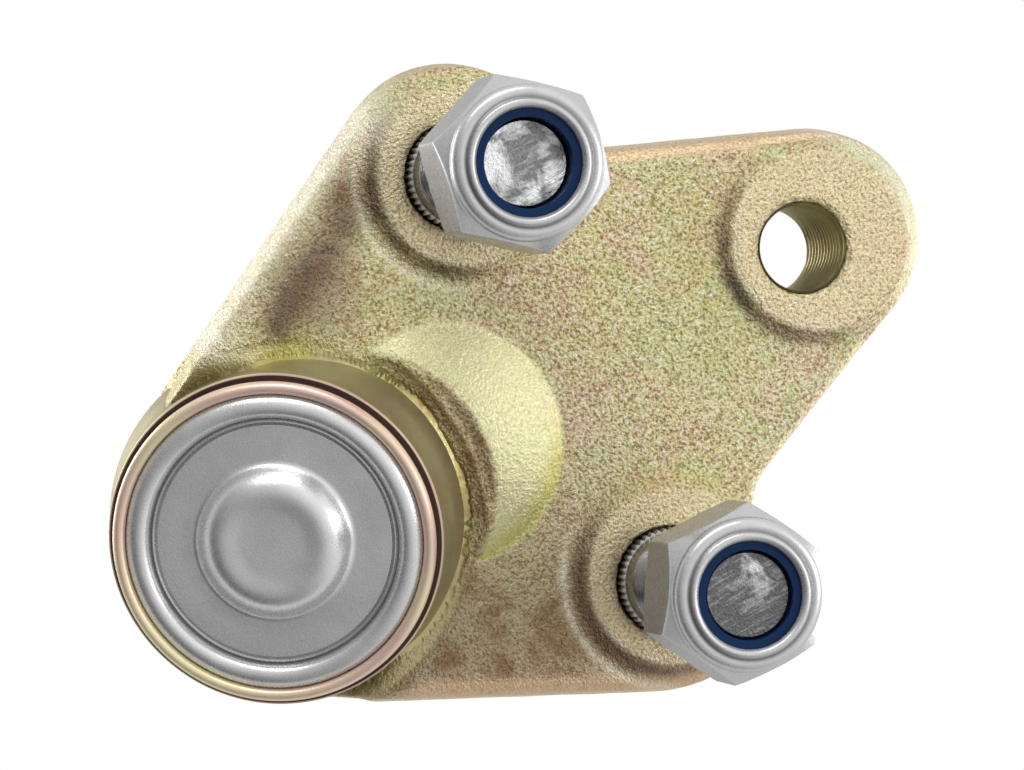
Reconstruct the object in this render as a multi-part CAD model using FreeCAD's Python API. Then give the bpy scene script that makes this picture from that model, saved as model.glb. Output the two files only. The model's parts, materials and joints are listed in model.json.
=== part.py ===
"""Lower suspension ball joint: a forged arm plate with a tilted socket, its ball stud and its fasteners.

Frame: origin at the centre of the threaded bolt hole, in the plane where the three bosses meet the arm.
+Z points up, the way the ball stud leaves; +X runs from the bolt hole to the ball; +Y across the two studs.
The socket has a frame of its own: r from its axis and v along it, from the end cap's rim up the stud.
"""
import FreeCAD, Part
import math
import os

V = FreeCAD.Vector
X_AXIS = V(1, 0, 0)
Y_AXIS = V(0, 1, 0)
Z_AXIS = V(0, 0, 1)

# Arm plate
STUD_X = 35.2
STUD_Y = 28.65
WEB_LOW = 1.5
WEB_HIGH = 13.5
PARTING_Z = 7.5
DRAFT_INSET = 0.8
PLATE_EDGE_R = 2.4
HOLE_END_X = -3.0
HOLE_END_R = 14.1
FLANK_DEG = 22.3
WAIST_R = 7.0
STUD_LOBE_R = 14.4
CUP_LOBE_X = 74.0
CUP_LOBE_R = 22.2

# Bosses and the bolt hole; the bosses' machined faces sit a little off the holes, towards the plate's rim
HOLE_BOSS_X = -2.4
HOLE_BOSS_R = 11.4
STUD_BOSS_X = 34.2
STUD_BOSS_Y = 28.3
STUD_BOSS_R = 11.2
HOLE_BOSS_TOP = 16.9
STUD_BOSS_TOP = 15.0
BOSS_SLOPE = 1.25
BOSS_EASE = 0.45
BOSS_ROOT = 2.6
BOLT_HOLE_R = 5.75
BOLT_HOLE_MOUTH_R = 6.4
BOLT_HOLE_CHAMFER = 0.5

# Serrated arm studs, M12
SERRATION_R = 6.85
SERRATION_ROOT_R = 6.45
SERRATION_TEETH = 48
SERRATION_END_Z = -1.5
STUD_CONE_END_Z = -3.2
STUD_THREAD_R = 5.9
STUD_END_Z = -33.6
STUD_END_CHAMFER = 0.9
STUD_HEAD_R = 9.4
STUD_HEAD_H = 3.4

# Nylon-insert nuts, M12, 19 mm across flats
NUT_FLATS = 19.0
NUT_CORNER_H = 8.9
NUT_SHOULDER_H = 11.1
NUT_H = 13.2
NUT_COLLAR_R = 9.15
NUT_LIP_R = 6.35
NUT_LIP_OUT_R = 7.45
NUT_LIP_T = 0.9
NUT_BORE_R = STUD_THREAD_R
NUT_TOP_Z = {"left": -36.6, "right": -35.3}
NUT_TURN = {"left": -10.5, "right": 28.0}
INSERT_R = 7.2
INSERT_H = 3.0
INSERT_LIP_R = 5.35

# Socket: its axis leans towards the bolt hole at the top
SOCKET_TILT = 21.4
CAP_X = 77.4
CAP_Z = -1.4
BALL_V = 21.5
LIP_IN_R = 18.45
LIP_OUT_R = 20.0
SHOULDER_R = 20.75
SHOULDER_V = 1.7
TURNED_V = 5.6
MOAT_LOW_R = 21.3
MOAT_R = 23.7
MOAT_V = 2.9
WALL_LEDGE = 0.5
CUP_ROOT_R = 22.4
CUP_ROOT_V = 12.0
LIP_CREST_V = -0.4
CAP_SEAT_R = 18.95
CAP_SEAT_V = 1.0
CAP_IN_V = 3.0
BORE_R = 16.9
COLLAR_R = 18.3
SEAT_T = 3.0
TOP_T = 11.5
CEILING_T = 9.0
MOUTH_LOW_R = 12.95
MOUTH_TOP_R = 14.2
BOOT_SPOT_R = 23.5
ROOT_FILLET_R = 2.4
SWELL_X = 52.2
SWELL_R = 15.5
SWELL_SPHERE_R = 34.0
SWELL_FOOT_R = 1.5
SWELL_ROOT = 2.0
VALLEY_R = 25.8
VALLEY_DEPTH = 6.0

# Bearing, spring and cap
BALL_R = 14.0
BALL_FLAT = 0.8
BEARING_GAP = 0.12
BEARING_R = 16.82
PLATE_WASHER_V = 5.9
PLATE_WASHER_T = 1.2
BEARING_LOW_V = PLATE_WASHER_V + PLATE_WASHER_T
BEARING_SPLIT = 0.4
SPRING_T = 1.2
SPRING_OUT_R = 16.4
SPRING_IN_R = 7.5

# Ball stud, heights t above the ball centre
NECK_R = 6.6
SHANK_R = 8.8
SHANK_T = 19.5
TAPER_T = 26.0
TAPER_END_T = 48.0
TAPER_PER_MM = 1 / 16
STUD_THREAD_M14_R = 7.0
STUD_TIP_T = 67.0
PIN_T = 62.6
PIN_HOLE_R = 1.75

# Castle nut, M14, 22 mm across flats
CASTLE_FLATS = 22.0
CASTLE_SEAT_T = 49.4
CASTLE_BODY_H = 11.0
CASTLE_H = 16.0
CASTLE_CROWN_R = 9.6
CASTLE_SLOT_W = 3.5
CASTLE_SLOTS = 6

# Split pin
PIN_WIRE_R = 1.5
PIN_EYE_R = 2.6
PIN_REACH = 11.4
PIN_LEG = 8.0

# Dust boot and its rings
BASE_RING_R = 18.9
BASE_RING_FLANGE = 1.6
BOOT_BEAD_IN_R = 19.05
BOOT_BEAD_R = 21.6
BOOT_BEAD_LOW_T = 3.4
BOOT_BEAD_TOP_T = 9.2
BOOT_GROOVE_R = 20.5
BOOT_BULGE_R = 21.8
BOOT_BULGE_T = 13.0
BOOT_WALL = 1.9
BOOT_NECK_LOW_T = 20.6
BOOT_NECK_TOP_T = 25.6
BOOT_NECK_R = 12.6
NECK_SLEEVE_IN_R = 8.88
NECK_SLEEVE_R = 10.1
NECK_GAP = 0.1
BASE_WIRE_R = 0.7
NECK_WIRE_R = 0.7

SOCKET = FreeCAD.Placement(V(CAP_X, 0, CAP_Z), FreeCAD.Rotation(Y_AXIS, -SOCKET_TILT))
NUTS = {"left": 1, "right": -1}


def wire_of(path):
    """A closed wire in the XZ plane. Each step is a point, or (middle, end) of an arc."""
    def at(p):
        return V(p[0], 0, p[1])

    edges = []
    here = path[0]
    for step in path[1:] + [path[0]]:
        arc = isinstance(step[0], tuple)
        end = step[1] if arc else step
        if arc:
            edges.append(Part.Arc(at(here), at(step[0]), at(end)).toShape())
        elif at(here).distanceToPoint(at(end)) > 1e-6:
            edges.append(Part.LineSegment(at(here), at(end)).toShape())
        here = end
    return Part.Wire(edges)


def turned(path):
    """Solid of revolution about Z of a profile in r and height."""
    return Part.Face(wire_of(path)).revolve(V(0, 0, 0), Z_AXIS, 360)


def on_ball(path):
    """Shift a profile's heights from the ball centre to the socket's own zero."""
    def up(p):
        return (p[0], p[1] + BALL_V)

    return [tuple(up(q) for q in step) if isinstance(step[0], tuple) else up(step) for step in path]


def in_socket(shape):
    """Put a shape made about Z on the tilted socket axis."""
    shape.Placement = SOCKET.multiply(shape.Placement)
    return shape


def sphere_r(radius, height):
    """Radius of a sphere's circle at a height above its centre."""
    return math.sqrt(radius ** 2 - height ** 2)


def arc_middle(radius, low, high):
    """Point halfway along a centred arc between two heights."""
    angle = (math.asin(low / radius) + math.asin(high / radius)) / 2
    return (radius * math.cos(angle), radius * math.sin(angle))


def hexagon(flats, height):
    """Hexagonal prism standing on Z = 0, with a flat facing +X."""
    corner = flats / 2 / math.cos(math.pi / 6)
    points = [V(corner * math.cos(a), corner * math.sin(a), 0)
              for a in (math.radians(60 * k + 30) for k in range(7))]
    return Part.Face(Part.makePolygon(points)).extrude(V(0, 0, height))


def soften(shape, radius, wanted):
    """Round the edges that wanted picks."""
    edges = [edge for edge in shape.Edges if wanted(edge)]
    return shape.makeFillet(radius, edges)


def level_edge(edge, height):
    """True for an edge that lies at one height."""
    box = edge.BoundBox
    return abs(box.ZMin - height) < 1e-4 and abs(box.ZMax - height) < 1e-4


def plate_outline(inset, height):
    """The forged plate's outline, moved inwards by the draft, at one height."""
    end_r = HOLE_END_R - inset
    lobe_r = STUD_LOBE_R - inset
    cup_r = CUP_LOBE_R - inset
    waist_r = WAIST_R + inset
    flank = math.radians(FLANK_DEG)
    along = V(math.cos(flank), math.sin(flank), 0)
    out = V(-math.sin(flank), math.cos(flank), 0)
    end = V(HOLE_END_X, 0, 0)
    lobe = V(STUD_X, STUD_Y, 0)
    cup = V(CUP_LOBE_X, 0, 0)
    end_tangent = end + out * end_r
    # centre of the waist's hollow arc, which touches the flank and the stud lobe
    start = end_tangent + out * waist_r
    to_lobe = start - lobe
    half_b = along.dot(to_lobe)
    reach = -half_b - math.sqrt(half_b ** 2 - to_lobe.dot(to_lobe) + (lobe_r + waist_r) ** 2)
    waist = start + along * reach
    waist_in = waist - out * waist_r
    waist_out = lobe + (waist - lobe).normalize() * lobe_r
    # common tangent of the stud lobe and the cup lobe
    gap = cup - lobe
    turn = math.atan2(gap.y, gap.x) + math.acos((lobe_r - cup_r) / gap.Length)
    normal = V(math.cos(turn), math.sin(turn), 0)
    lobe_tangent = lobe + normal * lobe_r
    cup_tangent = cup + normal * cup_r

    def bulge(centre, a, b, radius):
        middle = (a + b) * 0.5 - centre
        return centre + middle.normalize() * radius

    def mirrored(p):
        return V(p.x, -p.y, 0)

    waist_mid = bulge(waist, waist_in, waist_out, waist_r)
    lobe_dir = (waist_out + lobe_tangent) * 0.5 - lobe
    lobe_mid = lobe + lobe_dir.normalize() * lobe_r
    if lobe_mid.y < lobe.y:
        lobe_mid = lobe * 2 - lobe_mid
    side = [("line", end_tangent, waist_in),
            ("arc", waist_in, waist_mid, waist_out),
            ("arc", waist_out, lobe_mid, lobe_tangent),
            ("line", lobe_tangent, cup_tangent)]
    edges = []
    for mirror in (False, True):
        for kind, *points in side:
            placed = [mirrored(p) if mirror else p for p in points]
            if kind == "line":
                edges.append(Part.LineSegment(placed[0], placed[1]).toShape())
            else:
                edges.append(Part.Arc(*placed).toShape())
    nose = V(CUP_LOBE_X + cup_r, 0, 0)
    tail = V(HOLE_END_X - end_r, 0, 0)
    edges.append(Part.Arc(cup_tangent, nose, mirrored(cup_tangent)).toShape())
    edges.append(Part.Arc(end_tangent, tail, mirrored(end_tangent)).toShape())
    outline = Part.Wire(Part.__sortEdges__(edges))
    outline.translate(V(0, 0, height))
    return outline


def forged_plate():
    """Two drafted halves that meet at the parting line, with rounded rims."""
    halves = []
    for face_z in (WEB_LOW, WEB_HIGH):
        wires = [plate_outline(0, PARTING_Z), plate_outline(DRAFT_INSET, face_z)]
        half = Part.makeLoft(wires, True, True)
        halves.append(soften(half, PLATE_EDGE_R, lambda edge, z=face_z: level_edge(edge, z)))
    return halves[0].fuse(halves[1])


def boss(radius, face_z, web_z, x, y):
    """Cone-sided boss with an eased edge round its machined face, kept inside the plate's drafted side."""
    way = 1 if web_z > face_z else -1
    side = math.hypot(BOSS_SLOPE, 1)
    bend = math.atan2(1, BOSS_SLOPE) / 2
    ease_r = BOSS_EASE / math.tan(bend)
    eased = ((radius - BOSS_EASE + ease_r * math.sin(bend), face_z + way * ease_r * (1 - math.cos(bend))),
             (radius + BOSS_EASE * BOSS_SLOPE / side, face_z + way * BOSS_EASE / side))
    depth = abs(web_z - face_z) + BOSS_ROOT
    foot_z = face_z + way * depth
    cone = turned([(0, face_z), (radius - BOSS_EASE, face_z), eased, (radius + BOSS_SLOPE * depth, foot_z),
                   (0, foot_z)])
    cone.translate(V(x, y, 0))
    inset = DRAFT_INSET * (face_z - PARTING_Z) / (web_z - PARTING_Z)
    drafted = Part.makeLoft([plate_outline(0, PARTING_Z), plate_outline(inset, face_z)], True, True)
    return cone.common(drafted)


def socket_body():
    """Outside of the socket: rolled lip, turned wall, forged barrel and the boot's collar."""
    return turned([
        (0, CAP_SEAT_V), (LIP_IN_R, CAP_SEAT_V), (LIP_IN_R, 0.3),
        ((LIP_IN_R + 0.2, -0.2), (LIP_IN_R + 0.75, LIP_CREST_V)),
        ((LIP_OUT_R - 0.2, LIP_CREST_V + 0.25), (LIP_OUT_R, 0.5)),
        (LIP_OUT_R, SHOULDER_V), (SHOULDER_R, SHOULDER_V), (SHOULDER_R, TURNED_V),
        (SHOULDER_R + WALL_LEDGE, TURNED_V + WALL_LEDGE), (CUP_ROOT_R, CUP_ROOT_V),
        (CUP_ROOT_R, BALL_V + SEAT_T - 1.2),
        ((CUP_ROOT_R - 0.35, BALL_V + SEAT_T - 0.35), (CUP_ROOT_R - 1.2, BALL_V + SEAT_T)),
        (COLLAR_R, BALL_V + SEAT_T), (COLLAR_R, BALL_V + TOP_T - 0.6),
        (COLLAR_R - 0.6, BALL_V + TOP_T), (0, BALL_V + TOP_T)])


def socket_cavity():
    """Inside of the socket: cap seat, bore, rounded ceiling and the flared mouth for the stud's swing."""
    ceiling_r = sphere_r(BORE_R, CEILING_T)
    below = CAP_SEAT_V - 3
    above = TOP_T + 1
    bore = [(0, below), (LIP_IN_R, below), (LIP_IN_R, CAP_SEAT_V), (CAP_SEAT_R, CAP_SEAT_V),
            (CAP_SEAT_R, CAP_IN_V), (BORE_R, CAP_IN_V)]
    mouth = [(BORE_R, 0), (arc_middle(BORE_R, 0, CEILING_T), (ceiling_r, CEILING_T)),
             (MOUTH_LOW_R, CEILING_T), (MOUTH_LOW_R, CEILING_T + 0.5),
             (MOUTH_TOP_R, TOP_T), (MOUTH_TOP_R, above), (0, above)]
    return turned(bore + on_ball(mouth))


def cup_root():
    """Hollow fillet where the cup's forged wall meets the web, as wide as the flat of the web allows."""
    reach = 2 * CUP_ROOT_R
    web = Part.makeBox(2 * reach, 2 * reach, PARTING_Z, V(CAP_X - reach, -reach, WEB_LOW))
    flare = (CUP_ROOT_R - SHOULDER_R - WALL_LEDGE) / (CUP_ROOT_V - TURNED_V - WALL_LEDGE)
    start_v = -reach / 2
    start_r = CUP_ROOT_R + flare * (start_v - CUP_ROOT_V)
    wall = in_socket(Part.makeCone(start_r, start_r + flare * reach, reach, V(0, 0, start_v)))
    joined = web.fuse(wall)
    meeting = [edge for edge in joined.Edges
               if level_edge(edge, WEB_LOW) and edge.Curve.TypeId == "Part::GeomEllipse"]
    filled = joined.makeFillet(ROOT_FILLET_R, meeting)
    outline = plate_outline(DRAFT_INSET + PLATE_EDGE_R, WEB_LOW - reach / 2)
    over_web = Part.Face(outline).extrude(V(0, 0, reach / 2 + PARTING_Z - 2 * WEB_LOW))
    return filled.common(over_web)


def swelling():
    """Round swelling of the web beside the cup, cut by a conical valley that leaves a sharp ridge."""
    centre_z = WEB_LOW + sphere_r(SWELL_SPHERE_R, SWELL_R)
    # the dome meets the hollow foot where both have the same slope
    foot_r = math.sqrt((SWELL_SPHERE_R + SWELL_FOOT_R) ** 2 - (centre_z - WEB_LOW + SWELL_FOOT_R) ** 2)
    slope = math.asin(foot_r / (SWELL_SPHERE_R + SWELL_FOOT_R))
    meet = SWELL_SPHERE_R * math.sin(slope)
    foot_z = WEB_LOW - SWELL_FOOT_R

    def dome(angle):
        return (SWELL_SPHERE_R * math.sin(angle), centre_z - SWELL_SPHERE_R * math.cos(angle))

    def foot(angle):
        return (foot_r - SWELL_FOOT_R * math.sin(angle), foot_z + SWELL_FOOT_R * math.cos(angle))

    last = math.radians(12)
    edge_r = foot(last)[0]
    root_z = WEB_LOW + SWELL_ROOT
    bump = turned([(0, dome(0)[1]), (dome(slope / 2), (meet, dome(slope)[1])),
                   (foot((slope + last) / 2), foot(last)), (edge_r, root_z), (0, root_z)])
    bump.translate(V(SWELL_X, 0, 0))
    valley = Part.makeCone(VALLEY_R + VALLEY_DEPTH, VALLEY_R - 2 * SWELL_ROOT, VALLEY_DEPTH + 2 * SWELL_ROOT,
                           V(CAP_X, 0, WEB_LOW - VALLEY_DEPTH))
    return bump.cut(valley)


def turning_room():
    """Room that the turning tool clears round the cup's wall, with a coned outer side."""
    clear = TURNED_V - 2 * BALL_V
    return turned([(0, clear), (MOAT_R, clear), (MOAT_R, MOAT_V), (MOAT_LOW_R, TURNED_V), (0, TURNED_V)])


def housing():
    """Plate, bosses, swelling and socket in one forging, then its machined cavity and holes."""
    bosses = [boss(HOLE_BOSS_R, face, web, HOLE_BOSS_X, 0)
              for face, web in ((0, WEB_LOW), (HOLE_BOSS_TOP, WEB_HIGH))]
    for side in NUTS.values():
        for face, web in ((0, WEB_LOW), (STUD_BOSS_TOP, WEB_HIGH)):
            bosses.append(boss(STUD_BOSS_R, face, web, STUD_BOSS_X, side * STUD_BOSS_Y))
    body = forged_plate().multiFuse(bosses + [swelling(), cup_root()])
    above = Part.makeCylinder(BOOT_SPOT_R, BALL_V, V(0, 0, BALL_V + SEAT_T))
    body = body.cut(in_socket(above)).cut(in_socket(turning_room()))
    body = body.fuse(in_socket(socket_body())).cut(in_socket(socket_cavity()))
    through = HOLE_BOSS_TOP + 2
    tools = [Part.makeCylinder(BOLT_HOLE_R, through, V(0, 0, -1))]
    for z, way in ((0, 1), (HOLE_BOSS_TOP, -1)):
        mouth = Part.makeCone(BOLT_HOLE_MOUTH_R, BOLT_HOLE_R, BOLT_HOLE_CHAMFER, V(0, 0, z), V(0, 0, way))
        tools.append(mouth)
    for side in NUTS.values():
        tools.append(Part.makeCylinder(SERRATION_R, through, V(STUD_X, side * STUD_Y, -1)))
    return body.cut(tools[0].multiFuse(tools[1:])).removeSplitter()


def arm_stud(side):
    """Pressed-in stud: flat head, serrated shoulder, short cone and M12 shank."""
    shank = turned([
        (0, STUD_END_Z), (STUD_THREAD_R - STUD_END_CHAMFER, STUD_END_Z),
        (STUD_THREAD_R, STUD_END_Z + STUD_END_CHAMFER), (STUD_THREAD_R, STUD_CONE_END_Z),
        (SERRATION_ROOT_R, SERRATION_END_Z), (SERRATION_ROOT_R, STUD_BOSS_TOP),
        (STUD_HEAD_R, STUD_BOSS_TOP), (STUD_HEAD_R, STUD_BOSS_TOP + STUD_HEAD_H - 0.8),
        (STUD_HEAD_R - 0.8, STUD_BOSS_TOP + STUD_HEAD_H), (0, STUD_BOSS_TOP + STUD_HEAD_H)])
    points = []
    for k in range(2 * SERRATION_TEETH + 1):
        radius = SERRATION_R if k % 2 == 0 else SERRATION_ROOT_R
        angle = math.pi * k / SERRATION_TEETH
        points.append(V(radius * math.cos(angle), radius * math.sin(angle), SERRATION_END_Z))
    teeth = Part.Face(Part.makePolygon(points)).extrude(V(0, 0, STUD_BOSS_TOP - SERRATION_END_Z))
    stud = shank.fuse(teeth)
    stud.translate(V(STUD_X, side * STUD_Y, 0))
    return stud


def lock_nut(side, top_z, turn):
    """Nylon-insert nut hanging on its stud: steeply coned corners, rounded collar and rolled lip."""
    corner = NUT_FLATS / 2 / math.cos(math.pi / 6)
    washer_r = NUT_FLATS / 2 - 0.35
    bevel = (corner - washer_r) * math.tan(math.radians(30))
    shoulder_r = NUT_COLLAR_R + 0.2
    insert_top = NUT_H - NUT_LIP_T
    envelope = turned([
        (NUT_BORE_R, 0), (washer_r, 0), (corner + 0.01, bevel), (corner + 0.01, NUT_CORNER_H),
        (shoulder_r, NUT_SHOULDER_H), (NUT_COLLAR_R, NUT_SHOULDER_H + 0.15), (NUT_COLLAR_R, NUT_H - 1.3),
        ((NUT_COLLAR_R - 0.32, NUT_H - 0.7), (NUT_LIP_OUT_R + 0.55, NUT_H - 0.4)),
        (NUT_LIP_OUT_R + 0.12, NUT_H - 0.5), (NUT_LIP_OUT_R, NUT_H - 0.3),
        ((NUT_LIP_OUT_R - 0.45, NUT_H), (NUT_LIP_R + 0.2, NUT_H - 0.25)), (NUT_LIP_R, NUT_H - 0.6),
        (NUT_LIP_R, insert_top), (INSERT_R, insert_top), (INSERT_R, insert_top - INSERT_H),
        (NUT_BORE_R, insert_top - INSERT_H)])
    nut = envelope.common(hexagon(NUT_FLATS, NUT_H))
    return hang(nut, side, top_z, turn)


def nylon_insert(side, top_z, turn):
    """Nylon ring under the nut's rolled lip, cut by the thread up to the stud's end."""
    top = NUT_H - NUT_LIP_T
    stud_end = STUD_END_Z - top_z
    end_h = NUT_H - stud_end
    ring = turned([(NUT_BORE_R, top - INSERT_H), (INSERT_R, top - INSERT_H), (INSERT_R, top - 0.001),
                   (INSERT_LIP_R, top - 0.001), (INSERT_LIP_R, end_h), (NUT_BORE_R, end_h)])
    return hang(ring, side, top_z, turn)


def hang(shape, side, top_z, turn):
    """Place a nut part made on Z = 0 so that it faces down at the given height."""
    shape.rotate(V(0, 0, 0), Z_AXIS, turn)
    shape.rotate(V(0, 0, 0), X_AXIS, 180)
    shape.translate(V(STUD_X, side * STUD_Y, top_z + NUT_H))
    return shape


def cover_plate():
    """Pressed end cap: flange under the lip, raised ring, groove, flat and a plain dome with a dished middle."""
    return in_socket(turned([
        (0, 1.1), (4.5, 1.1), ((7.2, 1.7), (8.6, CAP_IN_V)), (CAP_SEAT_R, CAP_IN_V), (CAP_SEAT_R, CAP_SEAT_V),
        (LIP_IN_R, CAP_SEAT_V), ((18.0, 0.0), (16.8, -0.5)),
        ((15.7, -0.15), (15.25, 1.25)), (14.9, 1.4), (14.5, 0.95), (10.2, 0.95),
        ((9.65, 0.8), (9.2, 0.35)), ((8.0, -0.95), (6.3, -1.55)), ((5.3, -1.42), (4.4, -1.2)), (3.6, -1.15),
        (0, -1.15)]))


def disc_spring():
    rise = PLATE_WASHER_V - SPRING_T - CAP_IN_V
    return in_socket(turned([(SPRING_IN_R, CAP_IN_V + rise), (SPRING_OUT_R, CAP_IN_V),
                             (SPRING_OUT_R, CAP_IN_V + SPRING_T), (SPRING_IN_R, PLATE_WASHER_V)]))


def pressure_plate():
    return in_socket(turned([(4.5, PLATE_WASHER_V), (BEARING_R - 0.3, PLATE_WASHER_V),
                             (BEARING_R - 0.3, BEARING_LOW_V), (4.5, BEARING_LOW_V)]))


def lower_bearing():
    """Plastic cup under the ball, open at the middle as a grease pocket."""
    inner = BALL_R + BEARING_GAP
    pocket_r = 6.0
    low = -sphere_r(inner, pocket_r)
    top = -BEARING_SPLIT
    floor = BEARING_LOW_V - BALL_V
    return in_socket(turned(on_ball([
        (pocket_r, floor), (BEARING_R - 1.2, floor), (BEARING_R, floor + 1.2), (BEARING_R, top),
        (sphere_r(inner, top), top), (arc_middle(inner, top, low), (pocket_r, low))])))


def upper_bearing():
    """Plastic half that wraps over the ball and carries the pull-out load."""
    inner = BALL_R + BEARING_GAP
    lip_r = 12.55
    low = BEARING_SPLIT
    lip_t = sphere_r(inner, lip_r)
    top = CEILING_T - 0.1
    return in_socket(turned(on_ball([
        (sphere_r(inner, low), low), (sphere_r(BEARING_R, low), low),
        (arc_middle(BEARING_R, low, top), (sphere_r(BEARING_R, top), top)),
        (lip_r, top), (lip_r, lip_t), (arc_middle(inner, lip_t, low), (sphere_r(inner, low), low))])))


def ball_stud():
    """Ball, waisted neck, cylindrical shank, 1:8 taper and M14 end with its split-pin hole."""
    neck_t = sphere_r(BALL_R, NECK_R)
    flat_t = -(BALL_R - BALL_FLAT)
    flat_r = sphere_r(BALL_R, flat_t)
    small_r = SHANK_R - TAPER_PER_MM * (TAPER_END_T - TAPER_T)
    body = turned(on_ball([
        (0, flat_t), (flat_r, flat_t), ((BALL_R, 0), (NECK_R, neck_t)), (NECK_R, 15.4),
        ((7.15, 17.4), (SHANK_R, SHANK_T)), (SHANK_R, TAPER_T), (small_r, TAPER_END_T),
        (STUD_THREAD_M14_R - 0.9, TAPER_END_T + 0.6), (STUD_THREAD_M14_R - 0.9, TAPER_END_T + 1.2),
        (STUD_THREAD_M14_R, TAPER_END_T + 1.3), (STUD_THREAD_M14_R, STUD_TIP_T - 1.2),
        (STUD_THREAD_M14_R - 1.2, STUD_TIP_T), (0, STUD_TIP_T)]))
    hole = Part.makeCylinder(PIN_HOLE_R, 4 * STUD_THREAD_M14_R,
                             V(0, -2 * STUD_THREAD_M14_R, BALL_V + PIN_T), Y_AXIS)
    return in_socket(body.cut(hole))


def castle_nut():
    """Hexagon with a round crown cut by six slots for the split pin."""
    corner = CASTLE_FLATS / 2 / math.cos(math.pi / 6)
    washer_r = CASTLE_FLATS / 2 - 0.4
    bevel = (corner - washer_r) * math.tan(math.radians(30))
    bore_r = STUD_THREAD_M14_R
    envelope = turned([
        (bore_r, 0), (washer_r, 0), (corner + 0.01, bevel), (corner + 0.01, CASTLE_BODY_H - bevel),
        (washer_r, CASTLE_BODY_H), (CASTLE_CROWN_R, CASTLE_BODY_H), (CASTLE_CROWN_R, CASTLE_H - 0.6),
        (CASTLE_CROWN_R - 0.6, CASTLE_H), (bore_r, CASTLE_H)])
    crown_room = Part.makeCylinder(CASTLE_CROWN_R + 0.5, CASTLE_H)
    nut = envelope.common(hexagon(CASTLE_FLATS, CASTLE_BODY_H).fuse(crown_room))
    slots = []
    for k in range(CASTLE_SLOTS // 2):
        slot = Part.makeBox(CASTLE_SLOT_W, 3 * CASTLE_CROWN_R, CASTLE_H,
                            V(-CASTLE_SLOT_W / 2, -1.5 * CASTLE_CROWN_R, CASTLE_BODY_H))
        slot.rotate(V(0, 0, 0), Z_AXIS, 60 * k)
        slots.append(slot)
    nut = nut.cut(slots[0].multiFuse(slots[1:]))
    nut.translate(V(0, 0, BALL_V + CASTLE_SEAT_T))
    return in_socket(nut)


def split_pin():
    """Wire pin through the slots: an eye on one side and two legs bent along the nut on the other."""
    centre = V(0, 0, BALL_V + PIN_T)
    shaft = Part.makeCylinder(PIN_WIRE_R, 2 * PIN_REACH, centre - V(0, PIN_REACH, 0), Y_AXIS)
    eye = Part.makeTorus(PIN_EYE_R, PIN_WIRE_R * 0.6, centre - V(0, PIN_REACH + PIN_EYE_R, 0), X_AXIS)
    knee = Part.makeSphere(PIN_WIRE_R, centre + V(0, PIN_REACH, 0))
    legs = []
    for way in (-1, 1):
        bend = centre + V(way * 0.3, PIN_REACH, 0)
        legs.append(Part.makeCylinder(PIN_WIRE_R * 0.62, PIN_LEG, bend, V(way, 0, -0.25)))
    return in_socket(shaft.multiFuse([eye, knee] + legs))


def dust_boot():
    """Rubber bellows from the bead on the collar's ring to the lips round the shank."""
    groove_t = (BOOT_BEAD_LOW_T + BOOT_BEAD_TOP_T) / 2
    neck_in = NECK_SLEEVE_R + NECK_GAP
    neck_t = (BOOT_NECK_LOW_T + BOOT_NECK_TOP_T) / 2
    bulge_in = BOOT_BULGE_R - BOOT_WALL
    return in_socket(turned(on_ball([
        (BOOT_BEAD_IN_R, BOOT_BEAD_LOW_T), (BOOT_BEAD_R - 0.6, BOOT_BEAD_LOW_T),
        (BOOT_BEAD_R, BOOT_BEAD_LOW_T + 0.6),
        (BOOT_BEAD_R, groove_t - 0.95), (BOOT_GROOVE_R, groove_t - 0.75), (BOOT_GROOVE_R, groove_t + 0.75),
        (BOOT_BEAD_R, groove_t + 0.95), (BOOT_BEAD_R, BOOT_BEAD_TOP_T),
        ((BOOT_BULGE_R + 0.3, 11.0), (BOOT_BULGE_R, BOOT_BULGE_T)), ((19.0, 16.9), (BOOT_NECK_R + 1.6, 18.6)),
        ((BOOT_NECK_R + 0.5, 19.4), (BOOT_NECK_R, BOOT_NECK_LOW_T)),
        (BOOT_NECK_R, neck_t - 0.9), (BOOT_NECK_R - NECK_WIRE_R, neck_t - 0.7),
        (BOOT_NECK_R - NECK_WIRE_R, neck_t + 0.7), (BOOT_NECK_R, neck_t + 0.9),
        (BOOT_NECK_R - 0.2, BOOT_NECK_TOP_T), (neck_in, BOOT_NECK_TOP_T), (neck_in, BOOT_NECK_LOW_T - 0.3),
        (BOOT_NECK_R - 0.6, BOOT_NECK_LOW_T - 1.9), ((17.1, 15.9), (bulge_in, BOOT_BULGE_T)),
        ((bulge_in + 0.2, 11.4), (bulge_in - 0.3, BOOT_BEAD_TOP_T + 0.4)),
        (BOOT_BEAD_IN_R, BOOT_BEAD_TOP_T)])))


def boot_base_ring():
    """Steel ring pressed on the collar, which the boot's bead grips."""
    flange_r = BASE_RING_R + BASE_RING_FLANGE
    flange_top = SEAT_T + 0.3
    return in_socket(turned(on_ball([
        (COLLAR_R, SEAT_T), (flange_r, SEAT_T), (flange_r, flange_top), (BASE_RING_R, flange_top),
        (BASE_RING_R, BOOT_BEAD_TOP_T), (COLLAR_R, BOOT_BEAD_TOP_T)])))


def wire_ring(radius, wire_r, height):
    """Closed wire clamp ring about the socket axis."""
    return in_socket(Part.makeTorus(radius, wire_r, V(0, 0, BALL_V + height)))


def boot_clamp_ring():
    height = (BOOT_BEAD_LOW_T + BOOT_BEAD_TOP_T) / 2
    return wire_ring(BOOT_GROOVE_R + BASE_WIRE_R, BASE_WIRE_R, height)


def boot_neck_ring():
    height = (BOOT_NECK_LOW_T + BOOT_NECK_TOP_T) / 2
    return wire_ring(BOOT_NECK_R + 0.08, NECK_WIRE_R, height)


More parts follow.
